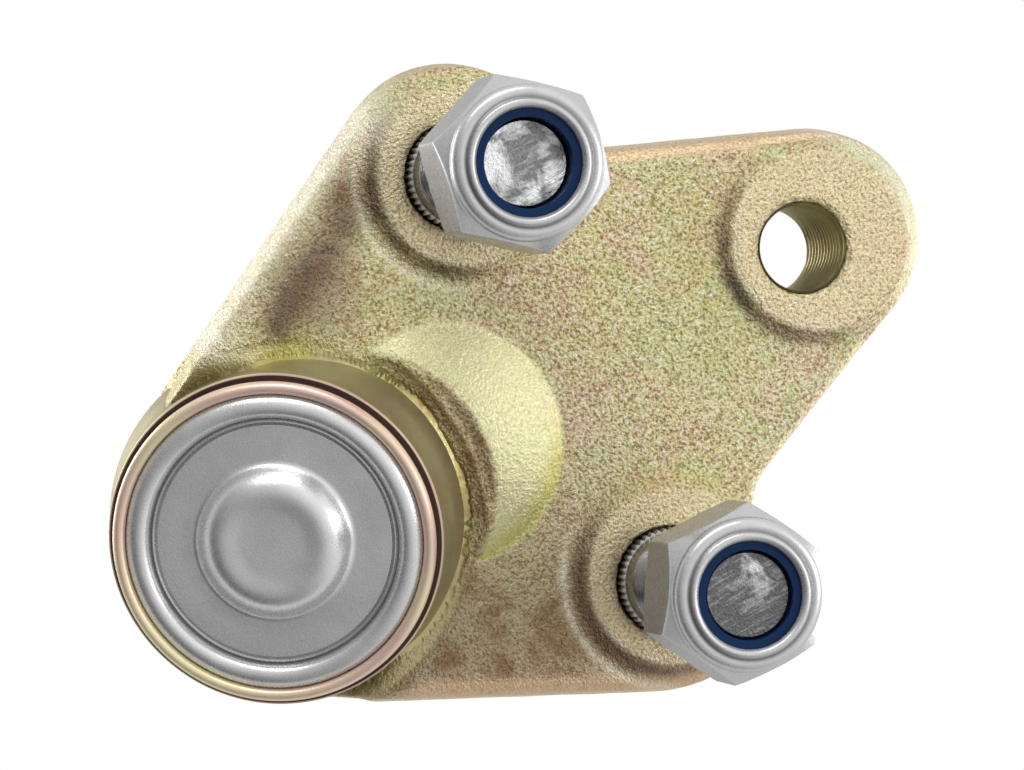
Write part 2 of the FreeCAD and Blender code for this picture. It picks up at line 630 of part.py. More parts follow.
def boot_neck_sleeve():
    """Hard sleeve in the boot's neck, in which the shank turns."""
    return in_socket(turned(on_ball([(NECK_SLEEVE_IN_R, BOOT_NECK_LOW_T), (NECK_SLEEVE_R, BOOT_NECK_LOW_T),
                                     (NECK_SLEEVE_R, BOOT_NECK_TOP_T), (NECK_SLEEVE_IN_R, BOOT_NECK_TOP_T)])))


parts = {
    "housing": housing,
    "cover_plate": cover_plate,
    "disc_spring": disc_spring,
    "pressure_plate": pressure_plate,
    "lower_bearing": lower_bearing,
    "upper_bearing": upper_bearing,
    "ball_stud": ball_stud,
    "castle_nut": castle_nut,
    "split_pin": split_pin,
    "dust_boot": dust_boot,
    "boot_base_ring": boot_base_ring,
    "boot_clamp_ring": boot_clamp_ring,
    "boot_neck_ring": boot_neck_ring,
    "boot_neck_sleeve": boot_neck_sleeve,
}

os.makedirs("parts", exist_ok=True)
for name, make in parts.items():
    make().exportStep("parts/" + name + ".step")
for hand, side in NUTS.items():
    arm_stud(side).exportStep("parts/arm_stud_" + hand + ".step")
    lock_nut(side, NUT_TOP_Z[hand], NUT_TURN[hand]).exportStep("parts/lock_nut_" + hand + ".step")
    nylon_insert(side, NUT_TOP_Z[hand], NUT_TURN[hand]).exportStep("parts/nylon_insert_" + hand + ".step")
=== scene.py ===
"""Looks of a forged lower ball joint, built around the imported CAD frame.

The photograph looks at the joint from below, so the camera stands under the floor. The floor shows only to
camera rays that meet it from above, and lets every other ray through.
Lengths that describe the joint are in millimetres and are turned into metres when a mesh is made.
"""
import json
import math

import bpy
import numpy as np
from mathutils import Matrix, Vector, noise


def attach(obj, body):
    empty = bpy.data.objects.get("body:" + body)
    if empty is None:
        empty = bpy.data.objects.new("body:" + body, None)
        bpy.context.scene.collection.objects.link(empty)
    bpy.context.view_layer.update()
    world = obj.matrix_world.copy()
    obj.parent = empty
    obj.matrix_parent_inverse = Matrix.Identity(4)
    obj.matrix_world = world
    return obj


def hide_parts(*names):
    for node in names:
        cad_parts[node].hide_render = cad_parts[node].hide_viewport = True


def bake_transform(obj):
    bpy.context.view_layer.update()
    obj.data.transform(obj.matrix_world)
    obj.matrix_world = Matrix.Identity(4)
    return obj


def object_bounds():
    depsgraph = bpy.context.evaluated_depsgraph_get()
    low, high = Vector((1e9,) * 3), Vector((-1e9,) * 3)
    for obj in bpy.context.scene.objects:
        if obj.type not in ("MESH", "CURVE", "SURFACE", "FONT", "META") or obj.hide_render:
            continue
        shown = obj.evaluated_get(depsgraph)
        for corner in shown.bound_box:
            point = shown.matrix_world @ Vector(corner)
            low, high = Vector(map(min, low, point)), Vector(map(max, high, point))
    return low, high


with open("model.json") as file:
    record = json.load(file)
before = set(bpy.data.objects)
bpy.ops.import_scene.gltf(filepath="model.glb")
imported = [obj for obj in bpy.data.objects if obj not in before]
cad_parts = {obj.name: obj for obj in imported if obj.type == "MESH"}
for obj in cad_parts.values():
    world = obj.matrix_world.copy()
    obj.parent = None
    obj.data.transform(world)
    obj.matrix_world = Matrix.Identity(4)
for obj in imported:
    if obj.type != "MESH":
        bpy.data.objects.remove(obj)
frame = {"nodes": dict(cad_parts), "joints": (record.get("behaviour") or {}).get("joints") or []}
cad_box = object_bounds()

MM = 0.001

# Camera, from the photograph's viewing angle
CAMERA_AT = Vector((0.15302, 0.06491, -0.52319))
CAMERA_AIM = Vector((0.04118, 0.00297, 0.0))
CAMERA_ROLL_DEG = -89.23
CAMERA_LENS = 152.52
CAMERA_SHIFT = (-0.00137, -0.00361)

# Studio round the joint, as it is mirrored in the metal
STUDIO_DARK = (0.02, 0.02, 0.02)
STUDIO_BRIGHT = (1.05, 1.05, 1.05)
STUDIO_BEHIND = (0.85, 0.85, 0.85)
STUDIO_TOP = (0.60, 0.60, 0.61)

# Socket frame: heights t run up the stud from the ball's centre
JOINTS = {joint["name"]: joint for joint in frame["joints"]}
BALL_AT = Vector(JOINTS["stud_spin"]["pos_m"])
STUD_AXIS = Vector(JOINTS["stud_spin"]["axis"]).normalized()
ACROSS = Vector(JOINTS["stud_swing_x"]["axis"]).normalized()
CAP_T = -21.5

# Socket rim: radii from the stud's axis, heights v above the cap's plane
LIP_IN_R = 18.45
LIP_OUT_R = 20.0
SHOULDER_R = 20.75
SHOULDER_V = 1.7
TURNED_V = 5.6
WALL_R = 21.43
WALL_END_R = 22.36
WALL_END_V = 11.4
SOCKET_TOP_V = 32.5
LIP_SINK = 0.5
CAP_GROOVE_R = 15.3

# Bosses, as x, y and the face's radius, and the swelling with the valley that cuts it
BOSS_FACES = ((-2.4, 0.0, 11.4), (34.2, 28.3, 11.2), (34.2, -28.3, 11.2))
BOSS_TOP_Z = 14.7
SWELL_X = 52.2
SWELL_R = 15.5
CUP_X = 77.4
VALLEY_AT_ZERO = 27.3

# Finish of the forging, with its painted highlights and shade, by place on the plate
# Bevels, peach and partly painted highlight: way out of the plate, how far out the edge lies, the bevel's
# width, and its range of x
EDGE_BANDS = (((0.457, -0.889), 55.6, 3.2, -99, 99), ((-0.366, 0.931), 14.8, 1.9, -99, 22),
              ((0.453, 0.891), 57.9, 2.8, 40, 99))
# Painted highlight stripe and umber stripe beside the last bevel: distance from the edge and half width
HIGHLIGHT_STRIPE = (2.4, 1.6)
UMBER_STRIPE = (8.2, 2.8)
# Painted highlight spots: x, y and spread; brown spots: x, y, full out to, gone by
HIGHLIGHT_SPOTS = ((43.8, 41.2, 26.0), (72.0, 26.0, 10.0))
DARK_SPOTS = ((58.0, 24.0, 2, 9), (48.6, 32.0, 1, 6))
LIME_SPOT = (64.6, 19.2, 12)
# The way across the plate in which painted shade deepens to brown, and the side of each boss that gets
# painted umber shade
SHADE_WAY = (0.75, -0.65)
DARK_SIDE = (0.99, -0.12)

# Mesh sizes
HOUSING_VOXEL = 0.45
LOCK_NUT_VOXEL = 0.18
CASTLE_NUT_VOXEL = 0.28
THREAD_STEPS = 9
WIRE_SIDES = 14

# Arm studs and bolt hole
STUD_X = 35.2
STUD_Y = 28.65
STUD_END_Z = -33.6
STUD_R = 5.95
STUD_ROOT_R = 5.3
STUD_PITCH = 1.25
STUD_BORE_R = 6.2
THREAD_TOP_Z = -3.2
HEAD_R = 9.4
HEAD_TOP_Z = 18.4
HEAD_SEAT_Z = 15.02
NUT_GROOVE_R = 7.6
SERRATION_R = 6.85
SERRATION_ROOT_R = 6.45
SERRATION_TEETH = 48
HOLE_R = 5.75
HOLE_CREST_R = 5.36
HOLE_TOP = 16.9

# Ball stud and boot, with heights t above the ball's centre
BALL_R = 14.0
BALL_FLAT_T = -13.2
NECK_R = 6.6
TAPER_R = 8.8
TAPER_FROM_T = 26
TAPER_TO_T = 48
TAPER_PER_MM = 1 / 16
TIP_R = 7.0
TIP_ROOT_R = 6.3
TIP_PITCH = 1.5
TIP_START_T = 49.3
TIP_END_T = 66.9
CLAMP_R = 21.45
CLAMP_T = 6.3
NECK_RING_R = 12.6
NECK_RING_T = 23.1


def new_piece(name, vertices, faces, material, smooth_deg=40):
    """A mesh object in metres, with shading split at edges sharper than smooth_deg."""
    mesh = bpy.data.meshes.new(name)
    mesh.from_pydata([tuple(v) for v in vertices], [], faces)
    mesh.validate()
    mesh.update()
    mesh.materials.append(material)
    mesh.shade_smooth()
    mesh.set_sharp_from_angle(angle=math.radians(smooth_deg))
    piece = bpy.data.objects.new(name, mesh)
    bpy.context.scene.collection.objects.link(piece)
    return piece


def socket_matrix():
    """Local z runs up the stud's axis from the ball's centre, local y is the row's y."""
    side = STUD_AXIS.cross(ACROSS)
    turn = Matrix((ACROSS, side, STUD_AXIS)).transposed().to_4x4()
    return Matrix.Translation(BALL_AT) @ turn


def spun(name, rows, columns, matrix, material, radius_at=None, closed=False, smooth_deg=40):
    """Surface of revolution through rows of (r, z) in millimetres; radius_at may vary r round the turn.

    A row of radius 0 is a pole. A closed profile joins its last row to its first.
    """
    angles = np.arange(columns) * 2 * math.pi / columns
    vertices = []
    starts = []
    for r, z in rows:
        starts.append(len(vertices))
        if r <= 0:
            vertices.append((0.0, 0.0, z))
            continue
        radii = np.full(columns, float(r)) if radius_at is None else radius_at(r, z, angles)
        vertices.extend(zip(radii * np.cos(angles), radii * np.sin(angles), np.full(columns, float(z))))
    faces = []
    pairs = list(zip(range(len(rows)), range(1, len(rows))))
    if closed:
        pairs.append((len(rows) - 1, 0))
    for low, high in pairs:
        a = starts[low]
        b = starts[high]
        for k in range(columns):
            n = (k + 1) % columns
            if rows[low][0] <= 0:
                faces.append((a, b + n, b + k))
            elif rows[high][0] <= 0:
                faces.append((a + k, a + n, b))
            else:
                faces.append((a + k, a + n, b + n, b + k))
    placed = [matrix @ (Vector(v) * MM) for v in vertices]
    return new_piece(name, placed, faces, material, smooth_deg)


def arc(centre, radius, start_deg, end_deg, steps):
    """Points (r, z) along an arc of a profile."""
    points = []
    for k in range(steps + 1):
        angle = math.radians(start_deg + (end_deg - start_deg) * k / steps)
        points.append((centre[0] + radius * math.cos(angle), centre[1] + radius * math.sin(angle)))
    return points


def thread_radius(crest_r, root_r, pitch, start, end, run_out=1.2):
    """Radius round a screw thread between two heights; it fades in and out over run_out."""
    low, high = sorted((start, end))

    def radius_at(r, z, angles):
        if z < low or z > high:
            return np.full(len(angles), float(r))
        phase = (z / pitch - angles / (2 * math.pi)) % 1.0
        valley = np.clip(1.35 * (1 - np.abs(2 * phase - 1)) - 0.2, 0, 1)
        fade = min(1.0, (z - low) / run_out, (high - z) / run_out)
        return crest_r - (crest_r - root_r) * valley * fade

    return radius_at


def thread_heights(start, end, pitch):
    """Even heights, close enough for a thread's form."""
    steps = int(round((end - start) / pitch * THREAD_STEPS))
    return np.linspace(start, end, steps + 1)


# Materials: a small layer over node trees

def tree_of(name):
    """A new material, whose tree holds only its shader and output."""
    material = bpy.data.materials.new(name)
    material.use_nodes = True
    tree = material.node_tree
    shader = tree.nodes["Principled BSDF"]
    return material, tree, shader


def put(tree, kind, values=None, **settings):
    """Add a node; values may be numbers, colours or other nodes' outputs."""
    made = tree.nodes.new(kind)
    for key, value in settings.items():
        setattr(made, key, value)
    for key, value in (values or {}).items():
        feed(tree, made.inputs[key], value)
    return made


def feed(tree, socket, value):
    if isinstance(value, bpy.types.NodeSocket):
        tree.links.new(value, socket)
    elif isinstance(value, tuple) and len(value) == 3 and socket.type == "RGBA":
        socket.default_value = (*value, 1.0)
    else:
        socket.default_value = value


def place(tree):
    return put(tree, "ShaderNodeTexCoord").outputs["Object"]


def grain(tree, where, per_metre, detail, roughness, distortion=0.0):
    """Noise from 0 to 1 whose main features are 1/per_metre wide."""
    made = put(tree, "ShaderNodeTexNoise", {
        "Vector": where, "Scale": per_metre, "Detail": detail, "Roughness": roughness,
        "Distortion": distortion})
    return made.outputs["Fac"]


def remap(tree, value, low, high, to_low=0.0, to_high=1.0):
    made = put(tree, "ShaderNodeMapRange", {
        "Value": value, "From Min": low, "From Max": high, "To Min": to_low, "To Max": to_high})
    return made.outputs["Result"]


def mixed(tree, factor, a, b):
    """Mix two colours."""
    made = tree.nodes.new("ShaderNodeMix")
    made.data_type = "RGBA"
    feed(tree, made.inputs[0], factor)
    feed(tree, made.inputs[6], a)
    feed(tree, made.inputs[7], b)
    return made.outputs[2]


def maths(tree, operation, a, b):
    made = tree.nodes.new("ShaderNodeMath")
    made.operation = operation
    feed(tree, made.inputs[0], a)
    feed(tree, made.inputs[1], b)
    return made.outputs[0]


def attribute(tree, name):
    return put(tree, "ShaderNodeAttribute", attribute_name=name).outputs["Fac"]


def bumped(tree, height, distance, under=None):
    """Normal of a relief that is distance metres high, on top of another normal if one is given."""
    values = {"Height": height, "Distance": distance}
    if under is not None:
        values["Normal"] = under
    return put(tree, "ShaderNodeBump", values).outputs["Normal"]


def finish_shader(tree, shader, colour, metallic, roughness, normal):
    feed(tree, shader.inputs["Base Color"], colour)
    feed(tree, shader.inputs["Metallic"], metallic)
    feed(tree, shader.inputs["Roughness"], roughness)
    feed(tree, shader.inputs["Normal"], normal)


# Tints of the zinc plating, and the colours of its painted highlights and shade
SAND = (0.80, 0.65, 0.40)
GOLD = (0.71, 0.62, 0.27)
PALE_GREEN = (0.62, 0.66, 0.32)
ROSE = (0.66, 0.42, 0.30)
LIME = (0.50, 0.47, 0.08)
BROWN = (0.27, 0.16, 0.08)
UMBER = (0.13, 0.075, 0.06)
VIOLET = (0.40, 0.25, 0.22)
STRAW = (0.68, 0.66, 0.38)
HIGHLIGHT_CREAM = (0.92, 0.89, 0.70)
PEACH = (0.76, 0.54, 0.33)
OLIVE = (0.46, 0.41, 0.21)
LIP_GOLD = (0.90, 0.80, 0.50)
LIP_ROSE = (0.86, 0.62, 0.52)
LIP_VIOLET = (0.60, 0.50, 0.58)

# Grains of the forging per metre, and the heights of its relief in metres
LUMPS = 700
PEBBLES = 2450
FINE_GRAINS = 5600
PEBBLE_HEIGHT = 0.00066
LUMP_HEIGHT = 0.00025
PLASTIC_SPECULAR = 0.15


def share_of(tree, zone, share):
    """A zone of the mesh, from 0 to share."""
    return maths(tree, "MULTIPLY", attribute(tree, zone), share)


def forging_material():
    """Yellow zinc over a shot-blasted forging: green and rose tints, brown spots, and painted highlights and
    shade.
    """
    material, tree, shader = tree_of("forging_zinc")
    at = place(tree)
    broad = grain(tree, at, 38, 2, 0.5, 0.6)
    patch = grain(tree, at, 150, 3, 0.6, 0.8)
    lump = grain(tree, at, LUMPS, 1, 0.5)
    pebble = grain(tree, at, PEBBLES, 3, 0.55)
    fine = grain(tree, at, FINE_GRAINS, 2, 0.6)
    rough = attribute(tree, "rough")
    # Play of the plating
    base = mixed(tree, remap(tree, broad, 0.36, 0.64), GOLD, SAND)
    base = mixed(tree, remap(tree, patch, 0.46, 0.72), base, PALE_GREEN)
    base = mixed(tree, maths(tree, "MULTIPLY", remap(tree, patch, 0.48, 0.3), 0.7), base, ROSE)
    # Painted shade in brown and violet towards one edge and in the valley, with brown spots
    brown_and_shade = share_of(tree, "brown_and_shade", remap(tree, patch, 0.35, 0.6, 1.0, 0.6))
    base = mixed(tree, brown_and_shade, base, mixed(tree, remap(tree, patch, 0.42, 0.58), BROWN, VIOLET))
    # Zones of the part
    base = mixed(tree, attribute(tree, "swelling"), base, STRAW)
    base = mixed(tree, share_of(tree, "machined", 0.75), base, SAND)
    # Peach sides and bevels; the bevels are partly painted highlight
    base = mixed(tree, share_of(tree, "side", 0.85), base, PEACH)
    base = mixed(tree, attribute(tree, "turned"), base, OLIVE)
    base = mixed(tree, attribute(tree, "hollow"), base, LIME)
    # Painted shade in the pits and painted highlights on the tops of the blasted surface
    pits = maths(tree, "MULTIPLY", remap(tree, pebble, 0.37, 0.47, 0.75, 0.0), rough)
    base = mixed(tree, pits, base, BROWN)
    lit = maths(tree, "MULTIPLY", rough, maths(tree, "SUBTRACT", 1.0, attribute(tree, "brown_and_shade")))
    top_highlights = maths(tree, "MULTIPLY", remap(tree, pebble, 0.52, 0.62, 0.0, 0.75), lit)
    base = mixed(tree, top_highlights, base, HIGHLIGHT_CREAM)
    # Painted highlights along the boss edges, on spots, on a stripe and on the plate's end
    base = mixed(tree, share_of(tree, "painted_highlight", remap(tree, lump, 0.3, 0.6, 0.5, 1)), base, HIGHLIGHT_CREAM)
    # Painted umber shade on the dark side of the bosses, with an umber stripe
    base = mixed(tree, share_of(tree, "umber_and_shade", remap(tree, patch, 0.35, 0.6, 0.45, 1.0)), base, UMBER)
    height = maths(tree, "ADD", maths(tree, "MULTIPLY", pebble, 0.75), maths(tree, "MULTIPLY", fine, 0.25))
    depth = remap(tree, rough, 0, 1, 0.12, 1)
    normal = bumped(tree, maths(tree, "MULTIPLY", height, depth), PEBBLE_HEIGHT)
    normal = bumped(tree, maths(tree, "MULTIPLY", lump, depth), LUMP_HEIGHT, under=normal)
    finish_shader(tree, shader, base, 0.85, remap(tree, fine, 0.3, 0.7, 0.24, 0.38), normal)
    return material


def rim_material():
    """Glossy lip of the socket: gold that turns rose and violet round the rim."""
    material, tree, shader = tree_of("lip_zinc")
    at = place(tree)
    sweep = grain(tree, at, 55, 1, 0.5)
    fine = grain(tree, at, 2600, 2, 0.5)
    base = mixed(tree, remap(tree, sweep, 0.35, 0.55), LIP_GOLD, LIP_ROSE)
    base = mixed(tree, remap(tree, sweep, 0.58, 0.68, 0.0, 0.6), base, LIP_VIOLET)
    roughness = remap(tree, fine, 0.3, 0.7, 0.34, 0.44)
    finish_shader(tree, shader, base, 0.55, roughness, bumped(tree, fine, 0.00002))
    return material


def cut_end_material(name, colour, dark, lay, share):
    """Sheared end of a bar: dark blotches over scratches; lay turns the scratches, share sets the dark."""
    material, tree, shader = tree_of(name)
    at = place(tree)
    turn = put(tree, "ShaderNodeMapping", {
        "Vector": at, "Rotation": (0.0, 0.0, lay), "Scale": (0.14, 1.0, 1.0)})
    scratch = grain(tree, turn.outputs["Vector"], 2200, 4, 0.65, 0.2)
    pits = grain(tree, at, 2600, 3, 0.6)
    blotch = grain(tree, at, 190, 3, 0.6, 0.4)
    base = mixed(tree, remap(tree, blotch, share, share + 0.14), dark, colour)
    base = mixed(tree, remap(tree, scratch, 0.5, 0.62, 0.0, 0.22), base, colour)
    height = maths(tree, "ADD", maths(tree, "MULTIPLY", scratch, 0.5), maths(tree, "MULTIPLY", pits, 0.5))
    roughness = remap(tree, pits, 0.3, 0.7, 0.28, 0.46)
    finish_shader(tree, shader, base, 0.9, roughness, bumped(tree, height, 0.00028))
    return material


def metal(name, colour, roughness, bump_mm=0.02, per_metre=2500, patches=0.08, metallic=1.0, dirt=None,
          groove_shade=None):
    """Plated or bare steel: fine grain, slight patches and, where given, painted shade in its grooves and on
    a nut's flanks.
    """
    material, tree, shader = tree_of(name)
    at = place(tree)
    fine = grain(tree, at, per_metre, 3, 0.6)
    patch = grain(tree, at, 160, 3, 0.6, 0.5)
    dark = tuple(c * (1 - 2 * patches) for c in colour) if dirt is None else dirt
    base = mixed(tree, remap(tree, patch, 0.35, 0.65), colour, dark)
    if groove_shade is not None:
        base = mixed(tree, attribute(tree, "groove"), base, groove_shade)
    rough = remap(tree, fine, 0.3, 0.7, roughness * 0.8, roughness * 1.2)
    finish_shader(tree, shader, base, metallic, rough, bumped(tree, fine, bump_mm * MM))
    return material


def plastic(name, colour, roughness, per_metre=1500, bump_mm=0.01):
    """Moulded plastic or rubber with a fine grain and slight patches."""
    material, tree, shader = tree_of(name)
    shader.inputs["Specular IOR Level"].default_value = PLASTIC_SPECULAR
    at = place(tree)
    fine = grain(tree, at, per_metre, 2, 0.5)
    patch = grain(tree, at, 200, 2, 0.5)
    base = mixed(tree, remap(tree, patch, 0.3, 0.7, 0, 0.35), colour, tuple(c * 0.75 for c in colour))
    rough = remap(tree, fine, 0.3, 0.7, roughness * 0.85, min(1.0, roughness * 1.15))
    finish_shader(tree, shader, base, 0.0, rough, bumped(tree, fine, bump_mm * MM))
    return material


FORGING = forging_material()
LIP = rim_material()
# Umber of the rim's groove, painted shade
GROOVE_SHADE = metal("groove_shade_zinc", UMBER, 0.35, 0.01, 2600, 0.08, 0.8)
TURNED = metal("turned_zinc", (0.42, 0.38, 0.22), 0.45, 0.01, 2600, 0.08, 0.75, (0.36, 0.30, 0.17))
HOLE_ZINC = metal("hole_zinc", (0.50, 0.46, 0.26), 0.32, 0.02, 1800, 0.1, 0.95, (0.36, 0.31, 0.17))
# Painted shade in the cap's groove, and in the lock nuts' grooves and on their flanks
CAP_STEEL = metal("cap_steel", (0.78, 0.78, 0.78), 0.28, 0.02, 3600, 0.05, 0.7, groove_shade=(0.05, 0.05, 0.05))
NUT_ZINC = metal("nut_zinc", (0.62, 0.62, 0.63), 0.30, 0.012, 2400, 0.05, 0.6, groove_shade=(0.12, 0.12, 0.12))
STUD_ZINC = metal("stud_zinc", (0.54, 0.54, 0.54), 0.3, 0.02, 2400, 0.15)
STUD_ENDS = {
    "left": cut_end_material("stud_end_left", (0.92, 0.92, 0.92), (0.22, 0.22, 0.22), 0.6, 0.36),
    "right": cut_end_material("stud_end_right", (0.70, 0.70, 0.70), (0.13, 0.13, 0.13), 2.2, 0.50)}
SPRING_STEEL = metal("spring_steel", (0.22, 0.23, 0.26), 0.35)
RING_STEEL = metal("ring_steel", (0.60, 0.61, 0.62), 0.3)
BALL_STEEL = metal("ball_stud_steel", (0.42, 0.42, 0.41), 0.3, 0.02, 3000, 0.12)
CASTLE_ZINC = metal("castle_zinc", (0.60, 0.50, 0.27), 0.3, 0.03, 1800, 0.12, 1.0, (0.50, 0.38, 0.30))
PIN_STEEL = metal("pin_steel", (0.66, 0.66, 0.65), 0.28)
NYLON = plastic("nylon_blue", (0.0015, 0.022, 0.085), 0.5)
BEARING = plastic("bearing_acetal", (0.72, 0.70, 0.62), 0.4)
SLEEVE = plastic("sleeve_acetal", (0.03, 0.03, 0.032), 0.4)
RUBBER = plastic("boot_rubber", (0.018, 0.018, 0.019), 0.55, 900, 0.03)


def dress(node, material):
    """Give a CAD node that stays visible its material."""
    mesh = frame["nodes"][node].data
    mesh.materials.clear()
    mesh.materials.append(material)


for kept, kept_material in (
        ("disc_spring", SPRING_STEEL), ("pressure_plate", RING_STEEL),
        ("lower_bearing", BEARING), ("upper_bearing", BEARING), ("nylon_insert_left", NYLON),
        ("nylon_insert_right", NYLON), ("boot_base_ring", RING_STEEL), ("boot_neck_sleeve", SLEEVE)):
    dress(kept, kept_material)


def remeshed(name, node, voxel_mm, material):
    """A copy of a CAD node in even small faces, which softens its edges by about one face."""
    source = frame["nodes"][node]
    piece = bpy.data.objects.new(name, source.data.copy())
    bpy.context.scene.collection.objects.link(piece)
    modifier = piece.modifiers.new("even", "REMESH")
    modifier.mode = "VOXEL"
    modifier.voxel_size = voxel_mm * MM
    modifier.adaptivity = 0.0
    bpy.context.view_layer.update()
    evaluated = piece.evaluated_get(bpy.context.evaluated_depsgraph_get())
    mesh = bpy.data.meshes.new_from_object(evaluated)
    piece.modifiers.clear()
    piece.data = mesh
    mesh.name = name
    mesh.materials.clear()
    mesh.materials.append(material)
    mesh.shade_smooth()
    return piece


def read_points(mesh):
    points = np.empty(len(mesh.vertices) * 3)
    mesh.vertices.foreach_get("co", points)
    return points.reshape(-1, 3) / MM


def write_points(mesh, points):
    mesh.vertices.foreach_set("co", (points * MM).ravel())
    mesh.update()


def read_normals(mesh):
    normals = np.empty(len(mesh.vertices) * 3)
    mesh.vertex_normals.foreach_get("vector", normals)
    return normals.reshape(-1, 3)


def smoothed(mesh, points, rounds):
    """Points after some rounds of averaging each with its neighbours."""
    edges = np.empty(len(mesh.edges) * 2, dtype=np.int64)
    mesh.edges.foreach_get("vertices", edges)
    a, b = edges.reshape(-1, 2).T
    count = np.bincount(a, minlength=len(points)) + np.bincount(b, minlength=len(points))
    count = np.maximum(count, 1)[:, None]
    for _ in range(rounds):
        total = np.zeros_like(points)
        for axis in range(points.shape[1]):
            total[:, axis] = (np.bincount(a, points[b, axis], len(points))
                              + np.bincount(b, points[a, axis], len(points)))
        points = 0.5 * points + 0.5 * total / count
    return points


def store(mesh, name, values):
    made = mesh.attributes.new(name, "FLOAT", "POINT")
    made.data.foreach_set("value", np.clip(values, 0, 1).astype(np.float32))


def ramp(values, low, high):
    share = np.clip((values - low) / (high - low), 0, 1)
    return share * share * (3 - 2 * share)


def fall(values, low, high):
    return 1 - ramp(values, low, high)


def bell(values, centre, width):
    return np.exp(-((values - centre) / width) ** 2)


def blob(points, x, y, spread):
    """1 at a place on the plate, fading round it."""
    return np.exp(-((points[:, 0] - x) ** 2 + (points[:, 1] - y) ** 2) / spread)


def socket_place(points):
    """Height above the cap's plane, distance from the stud's axis, and the way out from it."""
    axis = np.array(STUD_AXIS)
    from_ball = points - np.array(BALL_AT) / MM
    height = from_ball @ axis
    outward = from_ball - height[:, None] * axis
    radius = np.linalg.norm(outward, axis=1)
    return height - CAP_T, radius, outward / np.maximum(radius, 1)[:, None]


def wall_radius(rise):
    """Radius of the socket's turned wall at a height above the cap's plane."""
    heights = (SHOULDER_V, TURNED_V - 0.7, TURNED_V + 1.0, WALL_END_V)
    return np.interp(rise, heights, (SHOULDER_R, SHOULDER_R, WALL_R, WALL_END_R))


def machined_zone(points):
    """The flat faces of the bosses, below and above."""
    machined = np.zeros(len(points))
    for x, y, face_r in BOSS_FACES:
        away = np.hypot(points[:, 0] - x, points[:, 1] - y)
        machined = np.maximum(machined, fall(away, face_r - 0.5, face_r + 0.2))
    return machined * (fall(points[:, 2], 0.2, 0.6) + ramp(points[:, 2], BOSS_TOP_Z - 0.1, BOSS_TOP_Z + 0.1))


def swelling_zones(points):
    """The smooth swelling beside the cup, the valley across it, and the swelling's lime flank."""
    away = np.hypot(points[:, 0] - SWELL_X, points[:, 1])
    past_valley = np.hypot(points[:, 0] - CUP_X, points[:, 1]) + points[:, 2] - VALLEY_AT_ZERO
    swelling = fall(away, SWELL_R - 0.9, SWELL_R + 0.3) * fall(points[:, 2], 2, 4)
    valley = swelling * fall(np.abs(past_valley), 0.3, 0.6)
    swelling = swelling * ramp(past_valley, 0.1, 0.5)
    flank = 0.75 * swelling * ramp(away, SWELL_R - 4, SWELL_R - 0.5) * ramp(-points[:, 1], 2, 9)
    return swelling, valley, flank


def brown_and_shade_zone(points, normals):
    """Painted shade that deepens to brown towards one edge, and brown spots, on what faces down."""
    brown_and_shade = 0.9 * ramp(points[:, :2] @ SHADE_WAY, 26, 60)
    for x, y, near, far in DARK_SPOTS:
        away = np.hypot(points[:, 0] - x, points[:, 1] - y)
        brown_and_shade = np.maximum(brown_and_shade, 0.9 * fall(away, near, far))
    return brown_and_shade * ramp(-normals[:, 2], 0.1, 0.6)


def side_zone(points, normals, radius):
    """The plate's sides and the bevels along its edges; the bevels are partly painted highlight."""
    side = 0.35 * fall(np.abs(normals[:, 2]), 0.35, 0.6) * ramp(radius, 24, 28)
    for way, out, width, x_low, x_high in EDGE_BANDS:
        bevel = fall(out - points[:, :2] @ way, 0.6 * width, width)
        bevel *= ramp(points[:, 0], x_low - 3, x_low + 3) * fall(points[:, 0], x_high - 3, x_high + 3)
        bevel *= ramp(radius, 24, 27) * fall(points[:, 2], 4, 6)
        side = np.maximum(side, bevel)
    return side


def stripe_zones(points):
    """A painted highlight stripe and an umber stripe beside the long edge."""
    x, y = points[:, 0], points[:, 1]
    way, out = EDGE_BANDS[-1][:2]
    inset = out - points[:, :2] @ way
    highlight_stripe = bell(inset, *HIGHLIGHT_STRIPE) * ramp(x, 36, 44) * fall(x, 70, 76) * ramp(y, 5, 15)
    umber = bell(inset, *UMBER_STRIPE) * ramp(x, 46, 53) * fall(x, 64, 68) * ramp(y, 15, 20)
    return 0.85 * highlight_stripe, 0.85 * umber


def boss_zones(points):
    """Painted umber shade on the dark side of each boss and round each stud, and painted highlights along its
    edge and beyond its slope.
    """
    umber_and_shade = np.zeros(len(points))
    painted_highlight = np.zeros(len(points))
    for x, y, face_r in BOSS_FACES:
        away_x = points[:, 0] - x
        away_y = points[:, 1] - y
        away = np.hypot(away_x, away_y)
        facing = (away_x * DARK_SIDE[0] + away_y * DARK_SIDE[1]) / np.maximum(away, 1)
        umber_and_shade = np.maximum(umber_and_shade, 0.9 * bell(away, face_r + 1.0, 1.0) * ramp(facing, 0.1, 0.8))
        painted_highlight = np.maximum(painted_highlight, 0.5 * bell(away, face_r - 0.3, 0.3) * ramp(facing, 0, 0.6))
        if y:
            umber_and_shade = np.maximum(umber_and_shade, 0.7 * fall(away, 7.2, 9.8) * ramp(facing, -0.3, 0.6))
            painted_highlight = np.maximum(painted_highlight, 0.65 * bell(away, face_r + 3.0, 0.6) * ramp(facing, 0.3, 0.8))
    return umber_and_shade, painted_highlight


def highlight_zone(points):
    """Painted highlight spots, and a painted highlight on the plate's end beyond the bolt hole."""
    away = np.hypot(points[:, 0], points[:, 1])
    painted_highlight = 0.6 * ramp(away, 13, 15) * ramp(-points[:, 0] / np.maximum(away, 1), 0.2, 0.9)
    for spot in HIGHLIGHT_SPOTS:
        painted_highlight = np.maximum(painted_highlight, blob(points, *spot))
    return painted_highlight


